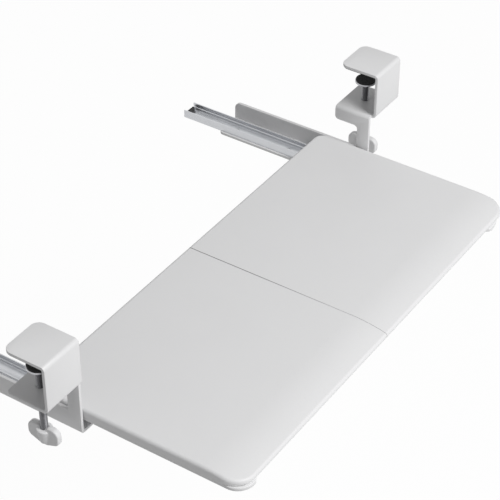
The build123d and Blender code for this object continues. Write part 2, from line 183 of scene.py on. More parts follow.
class Recipe:
    """A node tree that is being written."""

    def __init__(self, tree):
        self.tree = tree
        tree.nodes.clear()

    def add(self, kind, settings=None, *values, **named):
        """A new node. Its settings come first, then its inputs in order or by name."""
        node = self.tree.nodes.new(kind)
        for name, value in (settings or {}).items():
            setattr(node, name, value)
        inputs = [socket for socket in node.inputs if socket.enabled]
        pairs = list(zip(inputs, values))
        pairs += [(self.input_called(inputs, name), value) for name, value in named.items()]
        for socket, value in pairs:
            if isinstance(value, Wire):
                self.tree.links.new(value.socket, socket)
            else:
                socket.default_value = value
        return Wire(self, node) if node.outputs else node

    def math(self, operation, *values):
        return self.add("ShaderNodeMath", {"operation": operation}, *values)

    def input_called(self, inputs, name):
        """The input with this name, written in small letters and with underscores."""
        return next(socket for socket in inputs if socket.name.lower().replace(" ", "_") == name)


print("Node helpers are ready")

# %% [markdown]
# ## The studio
#
# The photograph has a white background and soft light that comes mostly from the front and from
# above. Turning the lamps up until the floor burns out would also burn out the pale tray. The
# floor and the world are shown as white to the camera and to reflections only, through the Light
# Path node, while the object itself is lit at a plain level. The floor lies as far below the
# object as it does where such a tray is used, and it still takes the object's soft shadow.

# %% The studio
floor_drop = 0.72
floor_reach = 30.0
floor_grey = (0.8, 0.8, 0.8, 1)
floor_white_share = 0.97
world_strength = 0.29
white = (1, 1, 1, 1)


def seen_directly(recipe):
    """1 for what the camera or a reflection sees, and 0 for the light that falls on the object."""
    path = recipe.add("ShaderNodeLightPath")
    seen = path["Is Camera Ray"] + path["Is Glossy Ray"] + path["Is Transmission Ray"]
    return seen.math("MINIMUM", 1.0)


def build_world():
    """An even light from all round that looks white where nothing stands in front of it."""
    world = bpy.data.worlds.new("studio_world")
    world.use_nodes = True
    bpy.context.scene.world = world
    recipe = Recipe(world.node_tree)
    light = recipe.add("ShaderNodeBackground", None, color=white, strength=world_strength)
    shown = recipe.add("ShaderNodeBackground", None, color=white, strength=1.0)
    mix = recipe.add("ShaderNodeMixShader", None, seen_directly(recipe), light, shown)
    recipe.add("ShaderNodeOutputWorld", None, mix)


def build_floor():
    """A pale floor, far enough out to fill every view."""
    data = bpy.data.meshes.new("floor")
    corners = [(-1, -1), (1, -1), (1, 1), (-1, 1)]
    points = [(x * floor_reach, y * floor_reach, -floor_drop) for x, y in corners]
    data.from_pydata(points, [], [range(len(points))])
    floor = bpy.data.objects.new("floor", data)
    bpy.context.scene.collection.objects.link(floor)
    material = bpy.data.materials.new("floor_paint")
    material.use_nodes = True
    recipe = Recipe(material.node_tree)
    paint = recipe.add("ShaderNodeBsdfDiffuse", None, color=floor_grey)
    shown = recipe.add("ShaderNodeEmission", None, color=white, strength=1.0)
    share = seen_directly(recipe) * floor_white_share
    mix = recipe.add("ShaderNodeMixShader", None, share, paint, shown)
    recipe.add("ShaderNodeOutputMaterial", None, mix)
    data.materials.append(material)


def build_lamp(name, azimuth, elevation, distance, size, power):
    """A square soft box that looks at the middle of the object."""
    data = bpy.data.lights.new(name, "AREA")
    data.size = size
    data.energy = power
    lamp = bpy.data.objects.new(name, data)
    bpy.context.scene.collection.objects.link(lamp)
    back = look_direction(math.radians(azimuth), math.radians(elevation))
    lamp.location = (cad_low + cad_high) / 2 + back * distance
    lamp.rotation_mode = "QUATERNION"
    lamp.rotation_quaternion = (-back).to_track_quat("-Z", "Y")


build_world()
build_floor()
build_lamp("front_soft_box", azimuth=0, elevation=45, distance=3.2, size=1.2, power=77)
bpy.context.scene.view_settings.view_transform = "Standard"
print("Studio: one soft box, an even world and a floor", floor_drop, "m below the frame's zero")

# %% [markdown]
# ## Powder coat and moulded plastic
#
# Powder coat is a plastic dust that is melted onto steel. It flows into a satin skin with a fine
# orange peel, about a millimetre from hill to hill. The tray and the knobs are moulded in steel
# tools whose surface was etched, which leaves a finer grain. Both are nearly white, so a flat
# colour would look like plaster. A very slight drift of tone, a roughness that varies a little
# and a shallow bump let the light break up as it does on the real surfaces. The groove between the
# tray's halves gets painted shade, a fine dark line in its colour. The painted shade is weaker
# towards the front of the tray.

# %% Powder coat and moulded plastic
finishes = {}
drift_per_metre, drift_share = 14.0, 0.7
gloss_drift = 0.08
plastic_ior = 1.48
# Painted shade in the groove between the tray's halves: its width, where it is weaker in front, and
# its colour.
groove_full, groove_end = 0.55 * mm, 0.8 * mm
faint_shade_up_to, full_shade_from = -160 * mm, -20 * mm
front_shade_share = 0.4
seam_shade_colour = (0.3, 0.3, 0.3)


def principled(name, build):
    """A material whose surface is one Principled shader, filled in by build."""
    material = bpy.data.materials.new(name)
    material.use_nodes = True
    recipe = Recipe(material.node_tree)
    place = recipe.add("ShaderNodeTexCoord")["Object"]
    shader = build(recipe, place)
    recipe.add("ShaderNodeOutputMaterial", None, shader)
    finishes[name] = material
    return material


def noise(recipe, place, scale, detail=2.0, roughness=0.5, stretch=(1, 1, 1)):
    """Smooth noise from 0 to 1 with this many features per metre, stretched along the axes."""
    if stretch != (1, 1, 1):
        place = recipe.add("ShaderNodeMapping", None, vector=place, scale=stretch)
    settings = {"scale": scale, "detail": detail, "roughness": roughness}
    return recipe.add("ShaderNodeTexNoise", None, vector=place, **settings)


def tinted(recipe, share, low, high):
    """A colour between two, by a share from 0 to 1. The first one may be a wire."""
    first = low if isinstance(low, Wire) else (*low, 1)
    return recipe.add("ShaderNodeMix", {"data_type": "RGBA"}, factor=share, a=first, b=(*high, 1))


def bumped(recipe, height, depth):
    """A normal from a height from 0 to 1 that stands for this many metres."""
    return recipe.add("ShaderNodeBump", None, strength=1.0, distance=depth, height=height)


def painted_seam_shade(recipe, place):
    """Painted shade in the groove between the tray's halves, from 0 to 1. It is weaker in front."""
    axes = recipe.add("ShaderNodeSeparateXYZ", None, place)
    across = axes["X"].math("ABSOLUTE")
    in_groove = ((groove_end - across) / (groove_end - groove_full)).clamped()
    toward_back = ((axes["Y"] - faint_shade_up_to) / (full_shade_from - faint_shade_up_to)).clamped()
    return in_groove * (toward_back * (1 - front_shade_share) + front_shade_share)


def grained(name, low, high, grain_per_metre, grain_depth, gloss, peel=None, seam=None):
    """An opaque skin: a drift of tone, a fine grain and, on powder coat, orange peel."""

    def build(recipe, place):
        drift = noise(recipe, place, drift_per_metre, detail=3.0)
        grain = noise(recipe, place, grain_per_metre, detail=3.0, roughness=0.6)
        tone = drift * drift_share + grain * (1 - drift_share)
        height = grain * grain_depth
        if peel:
            peel_per_metre, peel_depth = peel
            height = height + noise(recipe, place, peel_per_metre, detail=1.0) * peel_depth
        colour = tinted(recipe, tone, low, high)
        # Painted shade: the groove between the tray's halves is darkened in the colour.
        if seam:
            colour = tinted(recipe, painted_seam_shade(recipe, place), colour, seam)
        return recipe.add(
            "ShaderNodeBsdfPrincipled",
            None,
            base_color=colour,
            roughness=drift * gloss_drift + grain * gloss_drift + gloss,
            ior=plastic_ior,
            normal=bumped(recipe, height, 1.0),
        )

    return principled(name, build)


coat_low, skin_low, pale_high = (0.74, 0.74, 0.745), (0.755, 0.755, 0.76), (0.79, 0.79, 0.795)
grained("powder_coat", coat_low, pale_high, 2600, 0.012 * mm, 0.36, peel=(900, 0.03 * mm))
# The tray's skin carries the painted shade of the groove between its halves.
grained("tray_skin", skin_low, pale_high, 2100, 0.02 * mm, 0.44, seam=seam_shade_colour)
grained("base_skin", skin_low, pale_high, 1500, 0.03 * mm, 0.5)
grained("knob_skin", coat_low, (0.78, 0.78, 0.785), 1700, 0.025 * mm, 0.42)
print("Pale skins:", sorted(finishes))

# %% [markdown]
# ## Metals and rubber
#
# The slides and the nuts are zinc plated: a bright metal whose rolled sheet shows faint lines
# along its length. The clamp rods are duller, with dark oil left in the thread. Rubber is nearly
# black, but a matt black without any texture looks like a hole in the picture, so it gets a fine
# mottle and a trace of dust.

# %% Metals and rubber
clouds_per_metre, line_share = 60.0, 0.4
line_gloss, cloud_gloss = 0.16, 0.08
line_depth = 0.008 * mm
dust_per_metre = 45.0
rubber_gloss, dust_gloss = 0.72, 0.12
rubber_shine = 0.3


def plated(name, low, high, shine, line_stretch, line_scale=260.0):
    """Bare or plated metal with faint drawing lines along one axis."""

    def build(recipe, place):
        lines = noise(recipe, place, line_scale, detail=4.0, roughness=0.65, stretch=line_stretch)
        clouds = noise(recipe, place, clouds_per_metre, detail=4.0, roughness=0.6)
        return recipe.add(
            "ShaderNodeBsdfPrincipled",
            None,
            base_color=tinted(recipe, clouds * (1 - line_share) + lines * line_share, low, high),
            metallic=1.0,
            roughness=lines * line_gloss + clouds * cloud_gloss + shine,
            normal=bumped(recipe, lines, line_depth),
        )

    return principled(name, build)


def matt_black(name, low, high, pores_per_metre, pore_depth):
    """Rubber or foam with small pores and a trace of dust."""

    def build(recipe, place):
        pores = recipe.add("ShaderNodeTexVoronoi", None, vector=place, scale=pores_per_metre)
        dust = noise(recipe, place, dust_per_metre, detail=5.0, roughness=0.7)
        return recipe.add(
            "ShaderNodeBsdfPrincipled",
            None,
            base_color=tinted(recipe, dust, low, high),
            roughness=dust * dust_gloss + rubber_gloss,
            specular_ior_level=rubber_shine,
            normal=bumped(recipe, pores, pore_depth),
        )

    return principled(name, build)


along_rail = (1, 0.03, 1)
round_rod = (0.25, 0.25, 1)
plated("rail_zinc", (0.52, 0.53, 0.55), (0.68, 0.69, 0.71), 0.24, along_rail)
plated("nut_zinc", (0.5, 0.51, 0.53), (0.66, 0.66, 0.67), 0.26, round_rod)
plated("rod_zinc", (0.15, 0.15, 0.16), (0.3, 0.3, 0.31), 0.3, round_rod)
plated("cup_zinc", (0.46, 0.46, 0.48), (0.6, 0.6, 0.62), 0.26, round_rod)
plated("cage_steel", (0.46, 0.46, 0.47), (0.58, 0.58, 0.59), 0.3, along_rail)
plated("ball_steel", (0.78, 0.78, 0.8), (0.84, 0.84, 0.86), 0.05, (1, 1, 1), 40.0)
plated("black_zinc", (0.08, 0.08, 0.085), (0.15, 0.15, 0.155), 0.34, (1, 1, 1))
matt_black("pad_foam", (0.02, 0.02, 0.02), (0.045, 0.045, 0.045), 1600, 0.05 * mm)
matt_black("foot_rubber", (0.03, 0.03, 0.03), (0.055, 0.055, 0.055), 2200, 0.02 * mm)
matt_black("bumper_rubber", (0.035, 0.035, 0.035), (0.06, 0.06, 0.06), 1900, 0.03 * mm)
matt_black("dowel_plastic", (0.07, 0.07, 0.07), (0.12, 0.12, 0.12), 1500, 0.02 * mm)
bar_low, bar_high = (0.17, 0.17, 0.18), (0.22, 0.22, 0.23)
grained("bar_paint", bar_low, bar_high, 2400, 0.012 * mm, 0.34, peel=(850, 0.03 * mm))
print("Finishes:", len(finishes))

# %% [markdown]
# ## Sheet edges that catch the light
#
# A CAD edge is perfectly sharp, and a real one never is: sheet steel is deburred before it is
# coated, and a moulding leaves its tool with a small radius. In the photograph each edge of the
# brackets is drawn by a thin bright line for that reason. A bump can't make that line, because it
# belongs to the outline too. So a copy of each node is merged into clean faces and gets a real
# rounding with the Bevel modifier, which is applied, and the copy stands for the node. Two of the
# modifier's habits are switched off. Its clamp would shrink every edge to suit the shortest piece
# of a curve. Its loop slide would pull the new corners along the cuts between the holes of a sheet.

# %% Sheet edges that catch the light
merge_distance = 0.001 * mm
flat_angle = math.radians(0.6)
edge_angle = math.radians(32)
edge_segments = 3


def merged_copy(node_name, soften=None):
    """A CAD node's mesh as a new mesh, its loose triangles merged into clean faces."""
    mesh = bpy.data.meshes.new(node_name + "_merged")
    shape = bmesh.new()
    shape.from_mesh(nodes[node_name].data)
    bmesh.ops.remove_doubles(shape, verts=shape.verts, dist=merge_distance)
    bmesh.ops.dissolve_limit(shape, angle_limit=flat_angle, verts=shape.verts, edges=shape.edges)
    if soften:
        soften(shape)
    shape.to_mesh(mesh)
    shape.free()
    return mesh


def add_piece(name, mesh, body, finish):
    """A new piece of the object: its mesh, the body that carries it and its finish."""
    piece = bpy.data.objects.new(name, mesh)
    bpy.context.scene.collection.objects.link(piece)
    mesh.materials.clear()
    mesh.materials.append(finishes[finish])
    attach(piece, body)
    return piece


def evaluated_mesh(piece):
    """The mesh that a piece's modifiers make, as a plain mesh."""
    depsgraph = bpy.context.evaluated_depsgraph_get()
    return bpy.data.meshes.new_from_object(piece.evaluated_get(depsgraph), depsgraph=depsgraph)


def round_edges(node_name, radius, finish, soften=None):
    """A copy of a CAD node with rounded edges, which stands for the node."""
    rough = bpy.data.objects.new(node_name + "_rough", merged_copy(node_name, soften))
    bpy.context.scene.collection.objects.link(rough)
    rough.data.shade_smooth()
    bevel = rough.modifiers.new("edge_radius", "BEVEL")
    bevel.width = radius
    bevel.segments = edge_segments
    bevel.limit_method = "ANGLE"
    bevel.angle_limit = edge_angle
    bevel.use_clamp_overlap = False
    bevel.loop_slide = False
    bevel.harden_normals = True
    mesh = evaluated_mesh(rough)
    bpy.data.objects.remove(rough)
    body = nodes[node_name]["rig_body"]
    piece = add_piece(node_name + "_rounded", mesh, body, finish)
    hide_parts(node_name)
    return piece


rounded_parts = [
    ("bracket", 0.5 * mm, "bracket_steel", "powder_coat"),
    ("outer_rail", 0.2 * mm, "rail_steel", "rail_zinc"),
    ("inner_rail", 0.2 * mm, "rail_steel", "rail_zinc"),
    ("swivel_cup", 0.5 * mm, "cup_steel", "cup_zinc"),
    ("weld_nut", 0.05 * mm, "zinc_steel", "nut_zinc"),
    ("rail_bumper", 0.5 * mm, "bumper_rubber", "bumper_rubber"),
]
for side in sides:
    for part, radius, slot, finish in rounded_parts:
        piece = round_edges(side + "_" + part, radius, finish)
        print(piece.name, "faces:", len(piece.data.polygons))
bars = round_edges("joining_bars", 0.4 * mm, "bar_paint")
print(bars.name, "faces:", len(bars.data.polygons))

# %% [markdown]
# ## The lobes under the front corners
#
# Each base pan looks out a little from under the tray's front corner, where the tray is pulled.
# Its upper edge shows there, and in the photograph it is softer than any other edge. One bevel for
# the whole pan would be too round for its thin rim, so the edges that show are found by rule: they
# lie at the height of the joint, near the front, and border a face that looks forward. They are
# rounded first, and then the pan gets the small rounding of its other edges.

# %% The lobes under the front corners
pan_radius, lobe_edge_radius = 0.4 * mm, 1.8 * mm
lobe_segments = 4
round_profile = 0.5
lobe_zone = 24 * mm
pan_depth = 5 * mm
level_slack = 10 * merge_distance
slight_tilt, inward_limit = 0.1, 0.7


def looks_out(face):
    """Whether an upright face looks forward and not too much towards the middle of the tray."""
    outward = math.copysign(1, face.calc_center_median().x) * face.normal.x
    upright = abs(face.normal.z) < slight_tilt
    return upright and face.normal.y < -slight_tilt and outward > -inward_limit


def soften_lobe(shape):
    """Rounds the upper front edge of a base pan where it shows."""
    joint_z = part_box("left_base_pan")[0].z + pan_depth
    zone_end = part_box("left_tray_shell")[0].y + lobe_zone
    wall_z = joint_z - merge_distance
    shown = []
    for edge in shape.edges:
        level = all(abs(point.co.z - joint_z) < level_slack for point in edge.verts)
        near = all(point.co.y < zone_end for point in edge.verts)
        walls = [face for face in edge.link_faces if face.calc_center_median().z < wall_z]
        if level and near and edge.is_convex and any(map(looks_out, walls)):
            shown.append(edge)
    bmesh.ops.bevel(
        shape,
        geom=shown,
        offset=lobe_edge_radius,
        offset_type="OFFSET",
        segments=lobe_segments,
        profile=round_profile,
        affect="EDGES",
        clamp_overlap=False,
        loop_slide=False,
    )
    bmesh.ops.remove_doubles(shape, verts=shape.verts, dist=merge_distance)
    bmesh.ops.dissolve_degenerate(shape, edges=shape.edges, dist=merge_distance)


for side in sides:
    pan = round_edges(side + "_base_pan", pan_radius, "base_skin", soften_lobe)
    print(pan.name, "faces:", len(pan.data.polygons))

# %% [markdown]
# ## Threads that follow their pitch
#
# The clamp rods have rolled M10 threads: one ridge that climbs 1.5 mm with each turn. A bump would
# leave their outline smooth, and a spiral that is modelled by hand is hard to change. Here a
# Geometry Nodes tree takes a flat grid, shears it by one pitch and rolls it into a tube, so that
# each row of the grid runs along the spiral. The distance from the axis then depends on the row
# alone, and that gives the ridge its flat crest, its slopes and its root. The tree's inputs have
# names, so the same tree also cuts the thread of the small screws.

# %% Geometry Nodes helpers


def geometry_tree(name, inputs):
    """A new Geometry Nodes tree with named inputs: its tree, its recipe and the given inputs."""
    tree = bpy.data.node_groups.new(name, "GeometryNodeTree")
    tree.interface.new_socket("Geometry", in_out="OUTPUT", socket_type="NodeSocketGeometry")
    for label, kind in inputs.items():
        tree.interface.new_socket(label, in_out="INPUT", socket_type="NodeSocket" + kind)
    recipe = Recipe(tree)
    return tree, recipe, recipe.add("NodeGroupInput")


def finished(recipe, shape, finish):
    """The end of every tree: real faces in place of instances, and their material."""
    real = recipe.add("GeometryNodeRealizeInstances", None, shape)
    painted = recipe.add("GeometryNodeSetMaterial", None, geometry=real, material=finish)
    recipe.add("NodeGroupOutput", None, painted)


def run_tree(tree, given, source=None):
    """The plain mesh that a tree makes from its inputs, and from a source mesh if it takes one."""
    mesh = source or bpy.data.meshes.new(tree.name)
    carrier = bpy.data.objects.new(tree.name + "_carrier", mesh)
    bpy.context.scene.collection.objects.link(carrier)
    modifier = carrier.modifiers.new(tree.name, "NODES")
    modifier.node_group = tree
    for item in tree.interface.items_tree:
        if item.in_out == "INPUT" and item.name in given:
            modifier[item.identifier] = given[item.name]
    made = evaluated_mesh(carrier)
    carrier.modifiers.clear()
    bpy.data.objects.remove(carrier)
    return made


print("Geometry Nodes helpers are ready")

# %% The tree of a rolled thread
rows_per_turn = 6
spare_rows = 3
ridge_slope, ridge_root = 1.5, 0.25
full_turn = 2 * math.pi


def build_thread_tree():
    """A solid threaded bar on the Z axis, from a grid whose rows run along the spiral."""
    lengths = ["Radius", "Pitch", "Depth", "Chamfer", "Start", "End"]
    inputs = {label: "Float" for label in lengths}
    inputs["Steps"] = "Int"
    inputs["Finish"] = "Material"
    tree, recipe, given = geometry_tree("rolled_thread", inputs)
    turns = (given["End"] - given["Start"]) / given["Pitch"]
    rows = (turns + 1).math("CEIL") * rows_per_turn + spare_rows
    columns = given["Steps"] + 1
    sheet = recipe.add("GeometryNodeMeshGrid", None, 1.0, 1.0, vertices_x=columns, vertices_y=rows)
    place = recipe.add("ShaderNodeSeparateXYZ", None, recipe.add("GeometryNodeInputPosition"))
    around = place["X"] + 0.5
    row = ((place["Y"] + 0.5) * (rows - 1)).math("ROUND")
    climb = ((row - 1) / rows_per_turn - 1 + around) * given["Pitch"]
    height = (given["Start"] + climb).math("MAXIMUM", given["Start"]).math("MINIMUM", given["End"])
    wave = (((row + 0.5) / rows_per_turn).math("FRACT") * 2 - 1).math("ABSOLUTE")
    ridge = (wave * ridge_slope - ridge_root).clamped()
    to_end = (height - given["Start"]).math("MINIMUM", given["End"] - height)
    cut = (given["Chamfer"] - to_end).math("MAXIMUM", 0.0)
    surface = given["Radius"] - (given["Depth"] * (1 - ridge)).math("MAXIMUM", cut)
    inner_row = row.math("GREATER_THAN", 0.5) * row.math("LESS_THAN", rows - 1.5)
    radius = surface * inner_row
    angle = around * full_turn
    x, y = angle.math("COSINE") * radius, angle.math("SINE") * radius
    rolled = recipe.add("ShaderNodeCombineXYZ", None, x, y, height)
    tube = recipe.add("GeometryNodeSetPosition", None, geometry=sheet, position=rolled)
    closed = recipe.add("GeometryNodeMergeByDistance", None, geometry=tube, distance=merge_distance)
    finished(recipe, closed, given["Finish"])
    return tree


thread_tree = build_thread_tree()
print("Thread tree:", len(thread_tree.nodes), "nodes")

# %% [markdown]
# ## The clamp rods
#
# Each rod is a cut length of M10 bar. Its upper end is turned down to a neck and a small head,
# which the swivel foot holds loosely. The thread comes from the tree. The neck and the head are
# turned parts, so a list of radius and height, spun round the axis, says all there is to say about
# them. A lathe written out as rings keeps the poles closed and the faces outward.

# %% The clamp rods
rod_radius = 5.0 * mm
rod_pitch = 1.5 * mm
thread_depth = 0.85 * mm
rod_steps = 30
swivel_head_radius, swivel_head_height = 4.6 * mm, 1.8 * mm
swivel_neck_radius, swivel_neck_length = 3.0 * mm, 5.2 * mm
small_chamfer = 0.4 * mm


def lathe(name, profile, steps):
    """A turned shape on the Z axis from pairs of radius and height, listed from low to high."""
    points, rings = [], []
    for radius, height in profile:
        count = steps if radius else 1
        turns = [step / count * full_turn for step in range(count)]
        rings.append([len(points) + step for step in range(count)])
        points += [(math.cos(turn) * radius, math.sin(turn) * radius, height) for turn in turns]
    faces = []
    for low, high in zip(rings, rings[1:]):
        for step in range(steps):
            following = (step + 1) % steps
            corners = [low[step % len(low)], low[following % len(low)]]
            corners += [high[following % len(high)], high[step % len(high)]]
            faces.append(list(dict.fromkeys(corners)))
    mesh = bpy.data.meshes.new(name)
    mesh.from_pydata(points, [], faces)
    return mesh


def joined(name, meshes):
    """Several meshes as one."""
    shape = bmesh.new()
    for mesh in meshes:
        shape.from_mesh(mesh)
    whole = bpy.data.meshes.new(name)
    shape.to_mesh(whole)
    shape.free()
    return whole


def smooth_faces(mesh, angle=edge_angle):
    """Smooth shading with the edges above this angle kept sharp."""
    mesh.shade_smooth()
    mesh.set_sharp_from_angle(angle=angle)


def replace_node(name, mesh, node_name, finish):
    """A new piece that rides with a CAD node's body and stands for the node."""
    piece = add_piece(name, mesh, nodes[node_name]["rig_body"], finish)
    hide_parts(node_name)
    return piece


def build_rod(side):
    """A threaded clamp rod in place of the plain one."""
    low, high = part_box(side + "_clamp_screw")
    middle = (low + high) / 2
    neck_high = high.z - swivel_head_height
    shoulder = neck_high - swivel_neck_length
    sizes = {"Radius": rod_radius, "Pitch": rod_pitch, "Depth": thread_depth, "Steps": rod_steps}
    sizes |= {"Chamfer": thread_depth, "Start": low.z, "End": shoulder, "Finish": finishes["rod_zinc"]}
    neck = [
        (0, shoulder - thread_depth),
        (swivel_neck_radius, shoulder - thread_depth),
        (swivel_neck_radius, neck_high),
        (swivel_head_radius - small_chamfer, neck_high),
        (swivel_head_radius, neck_high + small_chamfer),
        (swivel_head_radius, high.z - small_chamfer),
        (swivel_head_radius - small_chamfer, high.z),
        (0, high.z),
    ]
    mesh = joined(side + "_rod", [run_tree(thread_tree, sizes), lathe("neck", neck, rod_steps)])
    mesh.transform(Matrix.Translation((middle.x, middle.y, 0)))
    smooth_faces(mesh)
    node_name = side + "_clamp_screw"
    return replace_node(side + "_threaded_rod", mesh, node_name, "rod_zinc")


for side in sides:
    rod = build_rod(side)
    print(side, "rod faces:", len(rod.data.polygons))

# %% [markdown]
# ## The wing knobs
#
# A wing knob is one moulding: two round wings that flow into a tapered hub. The CAD node has the
# right outline, but its wings meet the hub at a hard line, because a solid modeller can't always
# round such a joint. A voxel remesh turns the node into even small faces, and a few rounds of
# smoothing then melt the joint into a soft hollow, much as the draft and the radii of a moulding
# tool do. The Smooth modifier would also shrink thin wings, so it runs only a few times.

# %% The wing knobs
knob_voxel = 0.5 * mm
knob_smoothing_rounds = 9


def build_knob(side):
    """A soft moulded knob in place of the CAD one."""
    node_name = side + "_wing_knob"
    rough = bpy.data.objects.new(node_name + "_rough", merged_copy(node_name))
    bpy.context.scene.collection.objects.link(rough)
    voxels = rough.modifiers.new("voxels", "REMESH")
    voxels.mode = "VOXEL"
    voxels.voxel_size = knob_voxel
    soften = rough.modifiers.new("soften", "SMOOTH")
    soften.iterations = knob_smoothing_rounds
    mesh = evaluated_mesh(rough)
    bpy.data.objects.remove(rough)
    mesh.shade_smooth()
    return replace_node(side + "_moulded_knob", mesh, node_name, "knob_skin")


for side in sides:
    print(side, "knob faces:", len(build_knob(side).data.polygons))

# %% [markdown]
# ## The rubber of the feet
#
# A rubber disc on each swivel foot presses from below on what the tray hangs from. Such a disc is
# moulded with rings, so that it bites and can't trap air. The rings are sunk into the disc, and its
# top stays where the CAD disc ends, because that is where it presses.

# %% The rubber of the feet
ring_count = 4
groove_depth = 0.5 * mm
groove_width = 1.0 * mm
disc_steps = 72
disc_edge_angle = math.radians(20)


def disc_profile(radius, low, high):
    """The half section of a grooved disc, from its lower middle to its upper middle."""
    profile = [(0, low), (radius - small_chamfer, low), (radius, low + small_chamfer)]
    profile += [(radius, high - small_chamfer), (radius - small_chamfer, high)]
    ring_step = radius / (ring_count + 1)
    for ring in range(ring_count, 0, -1):
        middle = ring * ring_step
        slope = groove_width / 4
        profile += [(middle + groove_width / 2, high), (middle + slope, high - groove_depth)]
        profile += [(middle - slope, high - groove_depth), (middle - groove_width / 2, high)]
    return profile + [(0, high)]


for side in sides:
    low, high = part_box(side + "_foot_rubber")
    middle = (low + high) / 2
    profile = disc_profile((high.x - low.x) / 2, low.z, high.z)
    disc = lathe(side + "_disc", profile, disc_steps)
    disc.transform(Matrix.Translation((middle.x, middle.y, 0)))
    smooth_faces(disc, disc_edge_angle)
    replace_node(side + "_ringed_disc", disc, side + "_foot_rubber", "foot_rubber")
print("Each disc has", ring_count, "grooves of", round(groove_depth / mm, 2), "mm")

# %% [markdown]
# ## The small screws
#
# Thirty-six pan-head screws hold the slides, the base pans and the joining bars. On the real object
# they all come from one bag, and no two stand at the same turn. So one screw is made with care: a
# domed head from the lathe, a cross recess cut out with a Boolean, and a shank from the thread
# tree. Geometry Nodes then sets a copy on each place with its own turn, from a fixed seed. The
# places are measured from the CAD nodes, so that none is typed twice. They are also sorted, because
# a Python set has no order of its own, and without it each run would turn the screws differently.

# %% One small screw
screw_head_radius, screw_head_height = 3.7 * mm, 2.0 * mm
screw_shank_radius = 2.0 * mm
screw_thread_pitch, screw_thread_depth = 1.4 * mm, 0.5 * mm
screw_steps = 14
screw_head_steps = 2 * screw_steps
dome_steps = 9
rim_share = 0.35
rim_bevel = 0.1 * mm
recess_reach, recess_width, recess_depth = 1.9 * mm, 0.45 * mm, 1.2 * mm
recess_foot_share, recess_mouth_share = 0.45, 1.2
recess_spare = 0.4 * mm
example_length = 9 * mm


def build_recess_cutter():
    """Two crossed wedges that narrow towards the bottom of the recess, as a driver's tip does."""
    cutter = bmesh.new()
    corners = [(-1, -1), (1, -1), (1, 1), (-1, 1)]
    foot = (recess_foot_share, recess_depth - screw_head_height)
    mouth = (recess_mouth_share, -screw_head_height - recess_spare)
    for reach_x, reach_y in ((recess_reach, recess_width), (recess_width, recess_reach)):
        rings = []
        for share, z in (foot, (1.0, -screw_head_height), mouth):
            points = [(x * reach_x * share, y * reach_y * share, z) for x, y in corners]
            rings.append([cutter.verts.new(point) for point in points])
        cutter.faces.new(rings[0])
        cutter.faces.new(rings[-1])
        for low, high in zip(rings, rings[1:]):
            for step in range(len(corners)):
                following = (step + 1) % len(corners)
                cutter.faces.new([low[step], low[following], high[following], high[step]])
    bmesh.ops.recalc_face_normals(cutter, faces=cutter.faces)
    mesh = bpy.data.meshes.new("recess_cutter")
    cutter.to_mesh(mesh)
    cutter.free()
    return mesh


def build_screw(length):
    """A cross-head screw whose head hangs below the origin and whose shank points up."""
    rim_height = rim_share * screw_head_height
    dome_height = screw_head_height - rim_height
    profile = []
    for step in range(dome_steps + 1):
        turn = step / dome_steps * math.pi / 2
        z = -rim_height - math.cos(turn) * dome_height
        profile.append((math.sin(turn) * screw_head_radius, z))
    profile += [(screw_head_radius, -rim_bevel), (screw_head_radius - rim_bevel, 0), (0, 0)]
    head = bpy.data.objects.new("screw_head", lathe("screw_head", profile, screw_head_steps))
    cutter = bpy.data.objects.new("recess_cutter", build_recess_cutter())
    for helper in (head, cutter):
        bpy.context.scene.collection.objects.link(helper)
    cut = head.modifiers.new("recess", "BOOLEAN")
    cut.object = cutter
    cut.operation = "DIFFERENCE"
    cut.use_self = True
    cut_head = evaluated_mesh(head)
    for helper in (head, cutter):
        bpy.data.objects.remove(helper)
    sizes = {"Radius": screw_shank_radius, "Pitch": screw_thread_pitch}
    sizes |= {"Depth": screw_thread_depth, "Chamfer": screw_thread_depth}
    sizes |= {"Start": -small_chamfer, "End": length, "Steps": screw_steps}
    mesh = joined("screw", [cut_head, run_tree(thread_tree, sizes)])
    smooth_faces(mesh)
    return mesh


example = build_screw(example_length)
print("A screw of", round(example_length / mm), "mm has", len(example.polygons), "faces")

# %% A screw on each place


def build_placing_tree():
    """Copies of a model on the points of the source mesh, each turned about its own axis."""
    inputs = {"Places": "Geometry", "Model": "Object", "Flip": "Float", "Seed": "Int"}
    inputs["Finish"] = "Material"
    tree, recipe, given = geometry_tree("placed_copies", inputs)
    spin = recipe.add("FunctionNodeRandomValue", None, min=0.0, max=full_turn, seed=given["Seed"])
    model = recipe.add("GeometryNodeObjectInfo", None, object=given["Model"])["Geometry"]
    turned = recipe.add("ShaderNodeCombineXYZ", None, given["Flip"], 0.0, spin)
    sockets = {"points": given["Places"], "instance": model, "rotation": turned}
    copies = recipe.add("GeometryNodeInstanceOnPoints", None, **sockets)
    finished(recipe, copies, given["Finish"])
    return tree


def loose_boxes(node_name):
    """The lowest and the highest corner of each separate solid in a CAD node, sorted by place."""
    shape = bmesh.new()
    shape.from_mesh(nodes[node_name].data)
    bmesh.ops.remove_doubles(shape, verts=shape.verts, dist=merge_distance)
    waiting, boxes = set(shape.verts), []
    while waiting:
        reached, border = set(), [waiting.pop()]
        while border:
            point = border.pop()
            reached.add(point)
            for edge in point.link_edges:
                other = edge.other_vert(point)
                if other in waiting:
                    waiting.remove(other)
                    border.append(other)
        columns = list(zip(*(point.co for point in reached)))
        boxes.append((Vector(map(min, columns)), Vector(map(max, columns))))
    shape.free()
    return sorted(boxes, key=lambda box: tuple(box[0]))


def place_copies(node_name, places, model_mesh, flip, finish, seed):
    """A copy of a mesh on each place, which together stand for a CAD node."""
    source = bpy.data.meshes.new(node_name + "_places")
    source.from_pydata(places, [], [])
    model = bpy.data.objects.new(node_name + "_model", model_mesh)
    bpy.context.scene.collection.objects.link(model)
    given = {"Model": model, "Flip": flip, "Seed": seed, "Finish": finishes[finish]}
    mesh = run_tree(placing_tree, given, source)
    bpy.data.objects.remove(model)
    replace_node(node_name + "_detailed", mesh, node_name, finish)
    print(node_name, "copies:", len(places), "faces:", len(mesh.polygons))


